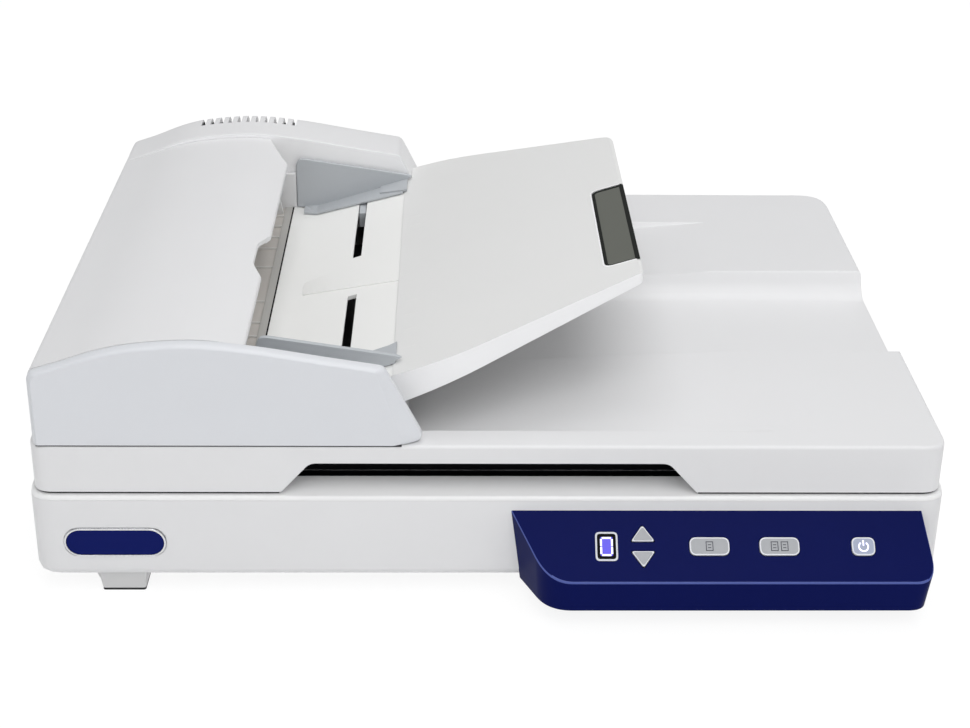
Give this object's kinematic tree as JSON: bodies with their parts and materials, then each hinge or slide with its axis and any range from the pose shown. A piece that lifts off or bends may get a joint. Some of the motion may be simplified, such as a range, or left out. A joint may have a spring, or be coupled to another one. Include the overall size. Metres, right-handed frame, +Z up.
{
  "type": "flatbed scanner",
  "caption": "Flatbed scanner with a hinged lid that carries a sheet feeder, an inclined input tray with coupled paper guides, and a sloping front panel of push buttons.",
  "frame": {"origin": "middle of the outline seen from above, on the desk under the feet", "axes": "+X to the right seen from the panel side, +Y to the back, +Z up"},
  "size_m": [0.5, 0.3974, 0.1669],
  "materials": {
    "shell_white": "fine satin, off-white",
    "inner_white": "satin, off-white",
    "panel_navy": "semi-gloss, navy blue",
    "guide_grey": "satin, cool grey",
    "path_grey": "satin, warm grey",
    "button_grey": "satin, light grey",
    "display_window": "clear over a lit violet digit frame",
    "badge_blue": "bare blue pill with a silver rim",
    "extension_grey": "smoked dark grey",
    "foot_rubber": "matt black",
    "roller_rubber": "matt dark grey",
    "belt_rubber": "matt black",
    "window_glass": "clear, polished",
    "steel": "ground steel",
    "brass": "turned brass",
    "black_plastic": "satin black",
    "gear_nylon": "ivory nylon",
    "board_green": "green solder mask",
    "pad_white": "white foam with a smooth film"
  },
  "bodies": {
    "base": {"base_tub": "shell_white", "base_deck": "shell_white", "foot_pad_front_left": "foot_rubber", "foot_pad_front_right": "foot_rubber", "foot_pad_rear_left": "foot_rubber", "foot_pad_rear_right": "foot_rubber", "platen_glass": "window_glass", "strip_glass": "window_glass", "guide_rod": "steel", "drive_belt": "belt_rubber", "scan_motor": "steel", "main_board": "board_green", "dc_socket": "black_plastic", "usb_socket": "steel", "badge_plate": "badge_blue", "panel_housing": "panel_navy", "panel_board": "board_green", "display_window": "display_window", "hinge_block_left": "shell_white", "hinge_block_right": "shell_white", "hinge_pin_left": "steel", "hinge_pin_right": "steel"},
    "lid": {"lid_top": "shell_white", "lid_liner": "inner_white", "backing_pad": "pad_white", "hinge_arm_left": "shell_white", "hinge_arm_right": "shell_white", "feeder_frame": "inner_white", "feeder_front_cap": "shell_white", "feeder_rear_cap": "shell_white", "feed_bed": "inner_white", "path_guide": "path_grey", "separation_pad": "roller_rubber", "input_tray": "shell_white", "exit_chute": "black_plastic", "feeder_motor": "steel"},
    "cover": {"top_cover": "shell_white"},
    "rear_guide": {"guide_rear": "guide_grey"},
    "front_guide": {"guide_front": "guide_grey"},
    "guide_gear": {"guide_pinion": "gear_nylon"},
    "extension": {"tray_extension": "extension_grey"},
    "turn_shaft": {"turn_roller": "roller_rubber"},
    "feed_shaft": {"feed_roller": "roller_rubber"},
    "pick_shaft": {"pick_roller": "roller_rubber"},
    "read_shaft": {"read_roller": "pad_white"},
    "exit_shaft": {"exit_roller": "roller_rubber"},
    "feeder_motor_gear": {"feeder_pinion": "brass"},
    "carriage": {"scan_carriage": "black_plastic", "image_sensor": "black_plastic"},
    "drive_wheel": {"drive_pulley": "gear_nylon"},
    "idler_wheel": {"idler_pulley": "gear_nylon"},
    "scan_motor_gear": {"motor_pinion": "brass"},
    "up_key": {"button_up": "button_grey"},
    "down_key": {"button_down": "button_grey"},
    "single_key": {"button_single": "button_grey"},
    "double_key": {"button_double": "button_grey"},
    "power_key": {"button_power": "button_grey"}
  },
  "joints": [
    {"name": "lid_hinge", "type": "hinge", "parent": "base", "child": "lid", "pos_m": [0, 0.19243, 0.064], "axis": [-1, 0, 0], "range_deg": [0, 80]},
    {"name": "cover_hinge", "type": "hinge", "parent": "lid", "child": "cover", "pos_m": [-0.2404, 0.00802, 0.13286], "axis": [0, -1, 0], "range_deg": [0, 65]},
    {"name": "rear_guide_slide", "type": "slide", "parent": "lid", "child": "rear_guide", "axis": [0, -1, 0], "range_m": [0, 0.066]},
    {"name": "front_guide_slide", "type": "slide", "parent": "lid", "child": "front_guide", "axis": [0, 1, 0], "range_m": [0, 0.066]},
    {"name": "guide_gear_spin", "type": "hinge", "parent": "lid", "child": "guide_gear", "pos_m": [-0.081, 0.00502, 0.105], "axis": [0, 0, -1], "range_deg": [0, 421]},
    {"name": "extension_slide", "type": "slide", "parent": "lid", "child": "extension", "axis": [0.954, 0, 0.2999], "range_m": [0, 0.078]},
    {"name": "turn_shaft_spin", "type": "hinge", "parent": "lid", "child": "turn_shaft", "pos_m": [-0.205, 0.00802, 0.106], "axis": [0, -1, 0], "continuous": true},
    {"name": "feed_shaft_spin", "type": "hinge", "parent": "lid", "child": "feed_shaft", "pos_m": [-0.17568, 0.00802, 0.11667], "axis": [0, -1, 0], "continuous": true},
    {"name": "feeder_motor_spin", "type": "hinge", "parent": "lid", "child": "feeder_motor_gear", "pos_m": [-0.20896, 0.00802, 0.12845], "axis": [0, -1, 0], "continuous": true},
    {"name": "pick_shaft_spin", "type": "hinge", "parent": "lid", "child": "pick_shaft", "pos_m": [-0.157, 0.00802, 0.1131], "axis": [0, -1, 0], "continuous": true},
    {"name": "read_shaft_spin", "type": "hinge", "parent": "lid", "child": "read_shaft", "pos_m": [-0.188, 0.00802, 0.071], "axis": [0, -1, 0], "continuous": true},
    {"name": "exit_shaft_spin", "type": "hinge", "parent": "lid", "child": "exit_shaft", "pos_m": [-0.062, 0.00802, 0.08954], "axis": [0, -1, 0], "continuous": true},
    {"name": "carriage_slide", "type": "slide", "parent": "base", "child": "carriage", "axis": [1, 0, 0], "range_m": [0, 0.404]},
    {"name": "drive_wheel_spin", "type": "hinge", "parent": "base", "child": "drive_wheel", "pos_m": [-0.226, 0.06202, 0.025], "axis": [0, 0, 1], "range_deg": [0, 3360]},
    {"name": "idler_wheel_spin", "type": "hinge", "parent": "base", "child": "idler_wheel", "pos_m": [0.234, 0.06202, 0.025], "axis": [0, 0, 1], "range_deg": [0, 3360]},
    {"name": "scan_motor_spin", "type": "hinge", "parent": "base", "child": "scan_motor_gear", "pos_m": [-0.226, 0.08303, 0.031], "axis": [0, 0, -1], "range_deg": [0, 8400]},
    {"name": "up_key_press", "type": "slide", "parent": "base", "child": "up_key", "axis": [0, 0.662, -0.7495], "range_m": [0, 0.0008], "stiffness_N_per_m": 400, "springref_m": -0.0003},
    {"name": "down_key_press", "type": "slide", "parent": "base", "child": "down_key", "axis": [0, 0.662, -0.7495], "range_m": [0, 0.0008], "stiffness_N_per_m": 400, "springref_m": -0.0003},
    {"name": "single_key_press", "type": "slide", "parent": "base", "child": "single_key", "axis": [0, 0.662, -0.7495], "range_m": [0, 0.0008], "stiffness_N_per_m": 400, "springref_m": -0.0003},
    {"name": "double_key_press", "type": "slide", "parent": "base", "child": "double_key", "axis": [0, 0.662, -0.7495], "range_m": [0, 0.0008], "stiffness_N_per_m": 400, "springref_m": -0.0003},
    {"name": "power_key_press", "type": "slide", "parent": "base", "child": "power_key", "axis": [0, 0.662, -0.7495], "range_m": [0, 0.0008], "stiffness_N_per_m": 400, "springref_m": -0.0003}
  ],
  "couplings": [
    {"joint": "front_guide_slide", "follows": "rear_guide_slide", "ratio": 1},
    {"joint": "guide_gear_spin", "follows": "rear_guide_slide", "rad_per_m": 111.11},
    {"joint": "feed_shaft_spin", "follows": "turn_shaft_spin", "ratio": -1.1667},
    {"joint": "feeder_motor_spin", "follows": "turn_shaft_spin", "ratio": -2.8},
    {"joint": "pick_shaft_spin", "follows": "turn_shaft_spin", "ratio": -1.3125},
    {"joint": "read_shaft_spin", "follows": "turn_shaft_spin", "ratio": 2.5714},
    {"joint": "exit_shaft_spin", "follows": "turn_shaft_spin", "ratio": 2.7692},
    {"joint": "drive_wheel_spin", "follows": "carriage_slide", "rad_per_m": 144.93},
    {"joint": "idler_wheel_spin", "follows": "carriage_slide", "rad_per_m": 144.93},
    {"joint": "scan_motor_spin", "follows": "carriage_slide", "rad_per_m": 362.32}
  ]
}
